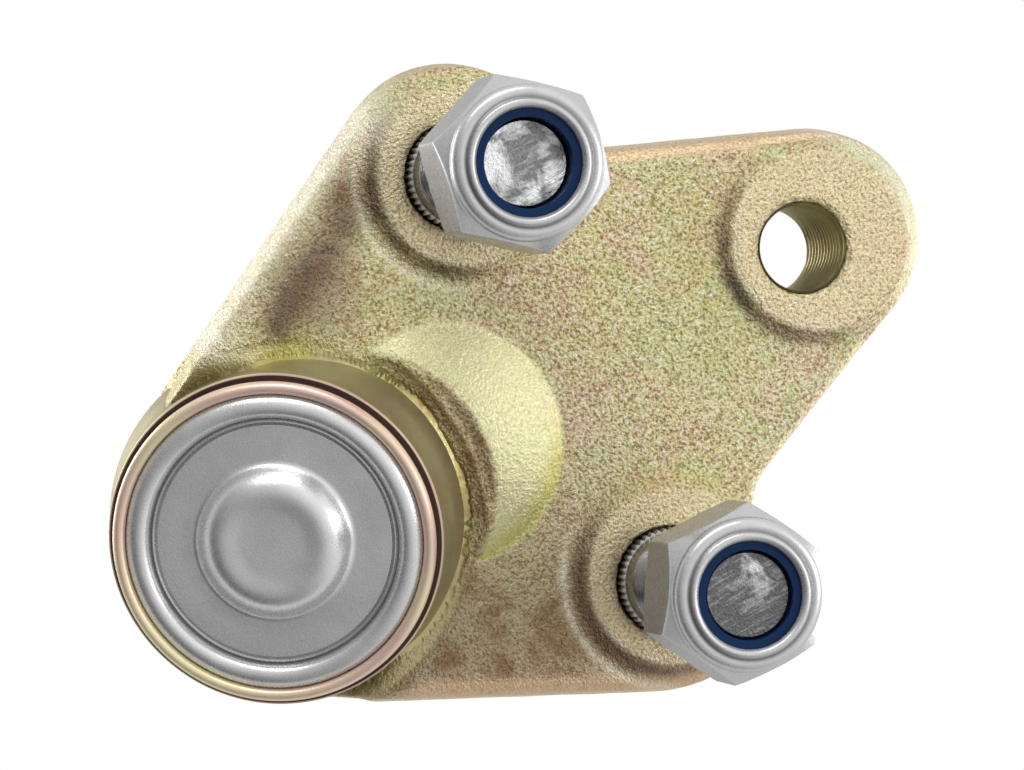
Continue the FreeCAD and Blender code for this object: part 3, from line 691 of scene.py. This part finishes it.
def dress_housing():
    """The forging as an even mesh with real unevenness, and zones for its finish and its painted highlights
    and shade.
    """
    piece = remeshed("housing_forging", "housing", HOUSING_VOXEL, FORGING)
    mesh = piece.data
    points = smoothed(mesh, read_points(mesh), 1)
    write_points(mesh, points)
    normals = read_normals(mesh)
    lift = np.einsum("ij,ij->i", smoothed(mesh, points, 14) - points, normals)
    rise, radius, outward = socket_place(points)
    over = radius - wall_radius(rise)
    beside_lip = rise < SHOULDER_V + 0.5
    lip = beside_lip & (radius > LIP_IN_R - 0.6) & (over < 0.4)
    wall = ~beside_lip & (rise < WALL_END_V + 0.4) & (over > -1) & (over < 2.5)
    inside = (radius < LIP_IN_R) & (rise < SOCKET_TOP_V)
    machined = machined_zone(points)
    swelling, valley, flank = swelling_zones(points)
    hollow = 0.7 * ramp(lift, 0.05, 0.3) * ramp(radius, 21.6, 22.4) * fall(radius, 26, 29)
    hollow = np.maximum(np.maximum(hollow, flank), 0.8 * blob(points, *LIME_SPOT))
    turned = 0.85 * fall(radius, 23.2, 24.2) * fall(rise, 9, 11)
    # Painted shade towards one edge, with brown spots
    brown_and_shade = brown_and_shade_zone(points, normals) * (1 - 0.7 * machined) * (1 - swelling)
    side = side_zone(points, normals, radius)
    highlight_stripe, umber = stripe_zones(points)
    # Painted umber shade beside the bosses, an umber stripe, and painted highlights
    umber_and_shade, painted_highlight = boss_zones(points)
    umber_and_shade = np.maximum(umber_and_shade, umber) * fall(points[:, 2], 3, 5)
    painted_highlight = np.maximum(np.maximum(painted_highlight, highlight_stripe), highlight_zone(points)) * fall(points[:, 2], 8, 10)
    rough = (1 - 0.25 * machined) * (1 - 0.72 * swelling) * (1 - 0.75 * turned) * (1 - 0.6 * side)
    rough *= 1 - 0.5 * painted_highlight
    rough[lip | (wall & (over < 0.9)) | inside] = 0
    # Unevenness of the forging, and a low fold along the valley
    uneven = np.array([0.6 * noise.noise(Vector(p) * 0.22) + 0.4 * noise.noise(Vector(p) * 0.6)
                       for p in points])
    fold = valley * bell(points[:, 2], -0.2, 0.4)
    points = points + normals * (0.08 * uneven * rough + 0.4 * fold)[:, None]
    # Lip and wall sink under the spun rim; on the free side the plate's last ridge goes with them
    points -= normals * (LIP_SINK * lip)[:, None]
    free_side = ramp(outward @ np.array(ACROSS), -0.1, 0.5)
    sunk = np.maximum(over + 0.6, 0) * wall * np.maximum(fall(over, 0.5, 0.9), free_side)
    sunk *= fall(rise, WALL_END_V - 0.5, WALL_END_V + 0.2)
    points -= outward * sunk[:, None]
    ironed = fall(np.abs(over - 1.3), 1.5, 2.5) * (rise < WALL_END_V - 1)
    points += (smoothed(mesh, points, 6) - points) * ironed[:, None]
    write_points(mesh, points)
    # The brown zone also takes the valley's dark band as painted shade
    for zone, values in (
            ("hollow", hollow * (1 - machined)), ("machined", machined), ("swelling", swelling * 0.8),
            ("turned", turned), ("side", side), ("umber_and_shade", umber_and_shade), ("painted_highlight", painted_highlight),
            ("brown_and_shade", np.maximum(brown_and_shade, valley * (1 - fold) * 0.6)), ("rough", rough)):
        store(mesh, zone, values)
    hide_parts("housing")
    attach(piece, "housing")


def dress_rim():
    """Rolled lip, and the shoulder and turned wall beside it, crisp as turned."""
    cap = CAP_T
    lip = [(LIP_IN_R, cap + 1.0), (LIP_IN_R, cap + 0.3), (LIP_IN_R + 0.06, cap + 0.05)]
    lip += [(LIP_IN_R + 0.2, cap - 0.18), (LIP_IN_R + 0.45, cap - 0.34), (LIP_IN_R + 0.75, cap - 0.4)]
    lip += [(LIP_OUT_R - 0.55, cap - 0.35), (LIP_OUT_R - 0.28, cap - 0.2), (LIP_OUT_R - 0.1, cap + 0.08)]
    lip += [(LIP_OUT_R, cap + 0.45)]
    groove = [(LIP_OUT_R, cap + 0.45), (LIP_OUT_R, cap + SHOULDER_V), (SHOULDER_R - 0.24, cap + SHOULDER_V)]
    edge = [groove[-1], (SHOULDER_R - 0.08, cap + SHOULDER_V + 0.03), (SHOULDER_R, cap + SHOULDER_V + 0.3)]
    wall = [edge[-1], (SHOULDER_R, cap + TURNED_V - 0.7), (WALL_R, cap + TURNED_V + 1.0)]
    wall += [(WALL_END_R, cap + WALL_END_V), (WALL_END_R - 0.7, cap + WALL_END_V + 0.5)]

    def wobble(r, z, angles):
        round_it = [Vector((3 * math.cos(a), 3 * math.sin(a), z)) for a in angles]
        return np.array([r + 0.03 * noise.noise(p) for p in round_it])

    # The groove's piece is painted umber as shade
    for name, rows, material in (("socket_lip", lip, LIP), ("socket_groove", groove, GROOVE_SHADE),
                                 ("socket_edge", edge, LIP), ("socket_wall", wall, TURNED)):
        piece = spun(name, rows, 240, socket_matrix(), material, wobble)
        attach(piece, "housing")


def dress_cap():
    """Pressed cap: raised ring, groove, flat, and a dome with a dished middle."""
    cap = CAP_T
    rows = [(0, 1.1), (4.5, 1.1), (7.2, 1.7), (8.6, 3.0), (18.9, 3.0), (18.9, 1.05), (18.42, 1.05)]
    rows += [(18.38, 0.6), (18.25, 0.25), (18.0, 0.0), (17.6, -0.28), (17.2, -0.44), (16.8, -0.5)]
    rows += [(16.4, -0.46), (16.0, -0.28), (15.7, 0.0), (15.48, 0.5), (15.3, 1.1), (15.1, 1.36), (14.9, 1.4)]
    rows += [(14.7, 1.25), (14.5, 0.97), (14.2, 0.95), (12.0, 0.95), (10.2, 0.95), (9.9, 0.93), (9.6, 0.78)]
    rows += [(9.3, 0.5), (9.0, 0.1), (8.6, -0.35), (8.1, -0.85), (7.5, -1.22), (6.9, -1.46), (6.3, -1.55)]
    rows += [(5.8, -1.53), (5.2, -1.47), (4.7, -1.4), (4.2, -1.35), (3.6, -1.32), (2.0, -1.3), (0, -1.3)]
    piece = spun("cover_plate_pressed", [(r, cap + v) for r, v in rows], 200, socket_matrix(), CAP_STEEL,
                 smooth_deg=50)
    mesh = piece.data
    # Painted shade along the cap's groove
    store(mesh, "groove", 0.9 * bell(socket_place(read_points(mesh))[1], CAP_GROOVE_R, 0.2))
    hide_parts("cover_plate")
    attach(piece, "housing")


def stud_end_rows(radius, z, way, chamfer):
    """Rows from the side of a cut bar to the middle of its end face."""
    rows = [(radius, z + way * chamfer), (radius - chamfer, z)]
    rows += [(radius - chamfer - 0.15, z)]
    rows += [((radius - chamfer - 0.15) * share, z) for share in (0.75, 0.5, 0.25)]
    return rows + [(0, z)]


def dress_arm_stud(hand, side):
    """Threaded shank and head in one piece, with the serrated shoulder as its second."""
    at = Matrix.Translation(Vector((STUD_X, side * STUD_Y, 0)) * MM)
    top = THREAD_TOP_Z
    end = STUD_END_Z
    rows = [(r, HEAD_TOP_Z) for r in (0, 4, HEAD_R - 0.8)] + [(HEAD_R - 0.2, HEAD_TOP_Z - 0.3)]
    rows += [(HEAD_R, HEAD_TOP_Z - 0.8), (HEAD_R, HEAD_SEAT_Z), (STUD_BORE_R, HEAD_SEAT_Z)]
    rows += [(STUD_BORE_R, 14.0), (STUD_BORE_R, -1.5), (STUD_BORE_R + 0.1, -1.9), (STUD_R, top + 0.2)]
    rows += [(STUD_R, z) for z in thread_heights(end + 1.0, top, STUD_PITCH)[::-1]]
    rows += stud_end_rows(STUD_R - 0.1, end, 1, 0.9)
    thread = thread_radius(STUD_R, STUD_ROOT_R, STUD_PITCH, top, end + 0.9)
    shank = spun("arm_stud_" + hand + "_shank", rows, 72, at, STUD_ZINC, thread)
    shank.data.materials.append(STUD_ENDS[hand])
    for face in shank.data.polygons:
        if all(abs(shank.data.vertices[k].co.z - end * MM) < 1e-6 for k in face.vertices):
            face.material_index = 1

    def teeth(r, z, angles):
        if r < SERRATION_ROOT_R:
            return np.full(len(angles), float(r))
        phase = (angles * SERRATION_TEETH / (2 * math.pi)) % 1.0
        return r - (SERRATION_R - SERRATION_ROOT_R) * np.abs(2 * phase - 1)

    tip = SERRATION_R - 0.03
    collar_rows = [(STUD_BORE_R, 14.9), (tip, 14.9), (tip, -1.3), (tip - 0.12, -1.5), (STUD_BORE_R, -1.6)]
    collar = spun("arm_stud_" + hand + "_serration", collar_rows, SERRATION_TEETH * 4, at, STUD_ZINC, teeth,
                  smooth_deg=25)
    for piece in (shank, collar):
        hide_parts("arm_stud_" + hand)
        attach(piece, "housing")


def dress_nut(node, voxel_mm, material, body):
    """An even copy of a nut with softened edges; a lock nut's groove and flanks are marked for painted shade.
    """
    piece = remeshed(node + "_soft", node, voxel_mm, material)
    points = smoothed(piece.data, read_points(piece.data), 1)
    write_points(piece.data, points)
    if body == "housing":
        away = np.hypot(points[:, 0] - STUD_X, np.abs(points[:, 1]) - STUD_Y)
        depth = points[:, 2] - points[:, 2].min()
        # Painted shade in the groove and on the flanks
        groove = 0.8 * bell(away, NUT_GROOVE_R, 0.28) * fall(depth, 0.8, 1.2)
        flank = 0.35 * fall(np.abs(read_normals(piece.data)[:, 2]), 0.1, 0.3)
        store(piece.data, "groove", np.maximum(groove, flank))
    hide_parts(node)
    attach(piece, body)


def dress_hole():
    """Thread of the bolt hole, on its wall."""
    low = 0.45
    high = HOLE_TOP - 0.45
    rows = [(HOLE_R - 0.01, z) for z in thread_heights(low, high, STUD_PITCH)]

    def ridge(r, z, angles):
        wall = thread_radius(HOLE_CREST_R, HOLE_R - 0.01, STUD_PITCH, low - 0.2, high + 0.2, 0.6)
        crest = wall(r, z, angles)
        fade = min(1.0, (z - low) / 0.8, (high - z) / 0.8)
        return r - (r - crest) * max(0.0, fade)

    piece = spun("bolt_hole_thread", rows, 96, Matrix.Identity(4), HOLE_ZINC, ridge)
    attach(piece, "housing")


def dress_ball_stud():
    """Ball, neck, taper and threaded tip."""
    low_deg = math.degrees(math.asin(BALL_FLAT_T / BALL_R))
    high_deg = math.degrees(math.acos(NECK_R / BALL_R))
    rows = [(0, BALL_FLAT_T), (2, BALL_FLAT_T)] + arc((0, 0), BALL_R, low_deg, high_deg, 40)
    rows += [(NECK_R, 15.4), (6.75, 16.2), (7.15, 17.4), (7.8, 18.5), (TAPER_R, 19.5), (TAPER_R, 22)]
    taper = np.linspace(TAPER_FROM_T, TAPER_TO_T, 5)
    rows += [(TAPER_R - (t - TAPER_FROM_T) * TAPER_PER_MM, t) for t in taper]
    rows += [(6.25, 48.6), (6.25, 49.2)]
    rows += [(TIP_R, t) for t in thread_heights(TIP_START_T, TIP_END_T - 1.2, TIP_PITCH)]
    rows += [(TIP_R - 1.1, TIP_END_T), (4, TIP_END_T), (2, TIP_END_T), (0, TIP_END_T)]
    thread = thread_radius(TIP_R, TIP_ROOT_R, TIP_PITCH, TIP_START_T, TIP_END_T - 0.9)
    piece = spun("ball_stud_turned", rows, 96, socket_matrix(), BALL_STEEL, thread)
    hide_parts("ball_stud")
    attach(piece, "ball_stud")


def tube(name, path, radius_mm, material):
    """A round wire along points in millimetres of the socket's frame."""
    points = [Vector(p) for p in path]
    last = len(points) - 1
    vertices = []
    side = None
    for k, p in enumerate(points):
        along = (points[min(k + 1, last)] - points[max(k - 1, 0)]).normalized()
        if side is None:
            side = along.orthogonal().normalized()
        side = (side - along * side.dot(along)).normalized()
        up = along.cross(side)
        for j in range(WIRE_SIDES):
            angle = 2 * math.pi * j / WIRE_SIDES
            vertices.append(p + (side * math.cos(angle) + up * math.sin(angle)) * radius_mm)
    faces = []
    for a in range(0, last * WIRE_SIDES, WIRE_SIDES):
        b = a + WIRE_SIDES
        for j in range(WIRE_SIDES):
            n = (j + 1) % WIRE_SIDES
            faces.append((a + j, b + j, b + n, a + n))
    faces.append(tuple(range(WIRE_SIDES)))
    faces.append(tuple(reversed(range(last * WIRE_SIDES, (last + 1) * WIRE_SIDES))))
    matrix = socket_matrix()
    return new_piece(name, [matrix @ (v * MM) for v in vertices], faces, material)


def wire_turns(radius, middle_t, pitch, start_angle):
    """Almost two turns of wire side by side round the stud's axis."""
    per_turn = 120
    path = []
    for k in range(2 * per_turn - 6):
        angle = 2 * math.pi * k / per_turn + start_angle
        path.append((radius * math.cos(angle), radius * math.sin(angle),
                     middle_t + (k / per_turn - 1) * pitch))
    return path


def dress_rings():
    """Spring wire rings round the boot's bead and neck."""
    ring = tube("boot_clamp_wire", wire_turns(CLAMP_R, CLAMP_T, 0.68, 0), 0.34, RING_STEEL)
    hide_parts("boot_clamp_ring")
    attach(ring, "housing")
    neck = tube("boot_neck_wire", wire_turns(NECK_RING_R, NECK_RING_T, 0.66, 1), 0.33, RING_STEEL)
    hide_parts("boot_neck_ring")
    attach(neck, "boot_neck")


def refine(path, pieces):
    """Catmull-Rom points through a path."""
    points = [Vector(p) for p in path]
    dense = []
    for k in range(len(points) - 1):
        p0 = points[max(k - 1, 0)]
        p1 = points[k]
        p2 = points[k + 1]
        p3 = points[min(k + 2, len(points) - 1)]
        for j in range(pieces):
            u = j / pieces
            dense.append(0.5 * (2 * p1 + (p2 - p0) * u + (2 * p0 - 5 * p1 + 4 * p2 - p3) * u * u
                                + (3 * p1 - p0 - 3 * p2 + p3) * u ** 3))
    dense.append(points[-1])
    return dense


def dress_split_pin():
    """One half-round wire bent double: two legs through the nut, an eye at the fold."""
    t = 62.6
    wire = 0.72
    eye_r = 2.3
    eye_y = -13.9
    path = [(-7.8, 12.3, t - 1.7), (-4.5, 12.0, t - 1.0), (-2.2, 11.7, t - 0.35), (-1.1, 10.9, t)]
    path += [(-wire, y, t) for y in (9.5, 4, -4, -10.2)] + [(-1.3, -11.4, t)]
    for k in range(15):
        angle = math.radians(35 + 290 * k / 14)
        path.append((-eye_r * math.sin(angle), eye_y + eye_r * math.cos(angle), t))
    path += [(1.3, -11.4, t)] + [(wire, y, t) for y in (-10.2, -4, 4, 9.5)]
    path += [(1.1, 10.9, t), (2.2, 11.7, t - 0.35), (4.5, 12.0, t - 1.0), (7.8, 12.3, t - 1.7)]
    pin = tube("split_pin_wire", refine(path, 4), wire, PIN_STEEL)
    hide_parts("split_pin")
    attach(pin, "ball_stud")


def dress_boot():
    """Rubber bellows in two lengths that meet at its widest fold."""
    matrix = socket_matrix()
    bead_low = 3.45
    meet = 15.2
    lower_out = [(19.1, bead_low), (21.1, bead_low), (21.5, bead_low + 0.3), (21.6, bead_low + 0.9)]
    lower_out += [(21.6, 5.35), (21.3, 5.45), (21.05, 5.75), (20.95, 6.3), (21.05, 6.85), (21.3, 7.15)]
    lower_out += [(21.6, 7.25), (21.6, 8.7), (21.35, 9.15), (21.45, 9.6), (21.8, 10.5), (22.0, 11.6)]
    lower_out += [(21.85, 12.9), (21.1, 14.2)]
    seam_out = (20.3, meet)
    seam_in = (18.6, meet - 1.0)
    lower_in = [(19.35, 13.9), (19.85, 12.9), (19.95, 11.6), (19.7, 10.4), (19.5, 9.6), (19.1, 9.2)]
    lower = lower_out + [seam_out, seam_in] + lower_in
    upper_out = [(19.3, 16.0), (18.0, 16.95), (16.2, 17.75), (14.9, 18.25), (14.2, 18.6), (13.5, 19.0)]
    upper_out += [(13.1, 19.6), (12.75, 20.2), (12.6, 20.8), (12.6, 22.2), (12.3, 22.35), (11.95, 22.6)]
    upper_out += [(11.95, 23.6), (12.3, 23.85), (12.6, 24.0), (12.55, 25.2), (12.3, 25.55), (10.3, 25.55)]
    upper_in = [(10.25, 20.3), (11.9, 18.75), (13.6, 17.5), (15.6, 16.6), (17.2, 15.6)]
    upper = [seam_out] + upper_out + upper_in + [seam_in]
    low = spun("dust_boot_lower", lower, 160, matrix, RUBBER, closed=True, smooth_deg=60)
    high = spun("dust_boot_upper", upper, 160, matrix, RUBBER, closed=True, smooth_deg=60)
    for piece in (low, high):
        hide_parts("dust_boot")
    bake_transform(low)
    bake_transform(high)


def aim(thing, target, roll_deg=0.0):
    """Point an object's -Z at a target."""
    away = (Vector(target) - thing.location).normalized()
    thing.rotation_mode = "QUATERNION"
    turn = away.to_track_quat("-Z", "Y")
    back = -away
    thing.rotation_quaternion = Matrix.Rotation(math.radians(roll_deg), 3, back).to_quaternion() @ turn


def make_camera():
    """The photograph's camera; gives its right, up and back as columns."""
    data = bpy.data.cameras.new("photo_camera")
    data.lens = CAMERA_LENS
    data.sensor_width = 36
    data.clip_start = 0.01
    data.clip_end = 20
    data.shift_x, data.shift_y = CAMERA_SHIFT
    camera = bpy.data.objects.new("photo_camera", data)
    bpy.context.scene.collection.objects.link(camera)
    camera.location = CAMERA_AT
    aim(camera, CAMERA_AIM, CAMERA_ROLL_DEG)
    bpy.context.scene.camera = camera
    return camera.rotation_quaternion.to_matrix()


def lamp(name, at, target, size, power):
    """A rectangular softbox that faces its target."""
    data = bpy.data.lights.new(name, "AREA")
    data.shape = "RECTANGLE"
    data.size, data.size_y = size
    data.energy = power
    made = bpy.data.objects.new(name, data)
    bpy.context.scene.collection.objects.link(made)
    made.location = at
    aim(made, target)


def make_lights(turn):
    """Softboxes round the camera under the joint, and a second set above it."""
    middle = CAMERA_AIM
    lamp("key_below", middle + turn @ Vector((-0.08, 0.55, 0.34)), middle, (0.5, 0.25), 1.3)
    lamp("side_below", middle + turn @ Vector((0.60, 0.05, 0.25)), middle, (0.25, 0.5), 0.9)
    lamp("key_above", (0.45, 0.35, 0.6), middle, (0.5, 0.5), 2.4)
    lamp("fill_above", (-0.5, -0.35, 0.45), middle, (0.5, 0.4), 1.2)


def make_world(turn):
    """White to the camera; to the rest a pale studio that darkens towards the photograph's lower left."""
    world = bpy.data.worlds.new("studio")
    bpy.context.scene.world = world
    world.use_nodes = True
    tree = world.node_tree
    shader = tree.nodes["Background"]
    direction = put(tree, "ShaderNodeTexCoord").outputs["Generated"]

    def towards(way, low, high):
        product = put(tree, "ShaderNodeVectorMath", {0: direction, 1: tuple(way)}, operation="DOT_PRODUCT")
        return remap(tree, product.outputs["Value"], low, high)

    upper_right = (turn @ Vector((0.8, 0.6, 0))).normalized()
    camera_side = (turn @ Vector((0, 0, 1))).normalized()
    slope = mixed(tree, towards(upper_right, -0.75, 0.5), STUDIO_DARK, STUDIO_BRIGHT)
    colour = mixed(tree, towards(camera_side, 0.05, 0.3), STUDIO_BEHIND, slope)
    colour = mixed(tree, towards((0, 0, 1), 0.1, 0.9), colour, STUDIO_TOP)
    camera_ray = put(tree, "ShaderNodeLightPath").outputs["Is Camera Ray"]
    feed(tree, shader.inputs["Color"], mixed(tree, camera_ray, colour, (1.0, 1.0, 1.0)))
    feed(tree, shader.inputs["Strength"], 1.0)


def make_floor():
    """Pale floor under the nuts, shown only to camera rays from above."""
    low = cad_box[0][2] - 0.0002
    half = 3.0
    corners = [(-half, -half, low), (half, -half, low), (half, half, low), (-half, half, low)]
    material, tree, shader = tree_of("pale_floor")
    feed(tree, shader.inputs["Base Color"], (0.86, 0.86, 0.86))
    feed(tree, shader.inputs["Roughness"], 0.7)
    clear = put(tree, "ShaderNodeBsdfTransparent")
    path = put(tree, "ShaderNodeLightPath").outputs["Is Camera Ray"]
    front = maths(tree, "SUBTRACT", 1.0, put(tree, "ShaderNodeNewGeometry").outputs["Backfacing"])
    blend = put(tree, "ShaderNodeMixShader", {0: maths(tree, "MULTIPLY", path, front)})
    tree.links.new(clear.outputs[0], blend.inputs[1])
    tree.links.new(shader.outputs[0], blend.inputs[2])
    tree.links.new(blend.outputs[0], tree.nodes["Material Output"].inputs["Surface"])
    floor = new_piece("floor", [Vector(c) for c in corners], [(0, 1, 2, 3)], material)


dress_housing()
dress_rim()
dress_cap()
dress_hole()
for stud_hand, stud_side in (("left", 1), ("right", -1)):
    dress_arm_stud(stud_hand, stud_side)
    dress_nut("lock_nut_" + stud_hand, LOCK_NUT_VOXEL, NUT_ZINC, "housing")
dress_nut("castle_nut", CASTLE_NUT_VOXEL, CASTLE_ZINC, "ball_stud")
dress_ball_stud()
dress_rings()
dress_split_pin()
dress_boot()
photo_turn = make_camera()
make_lights(photo_turn)
make_world(photo_turn)
make_floor()

bpy.context.scene.view_settings.view_transform = "Standard"
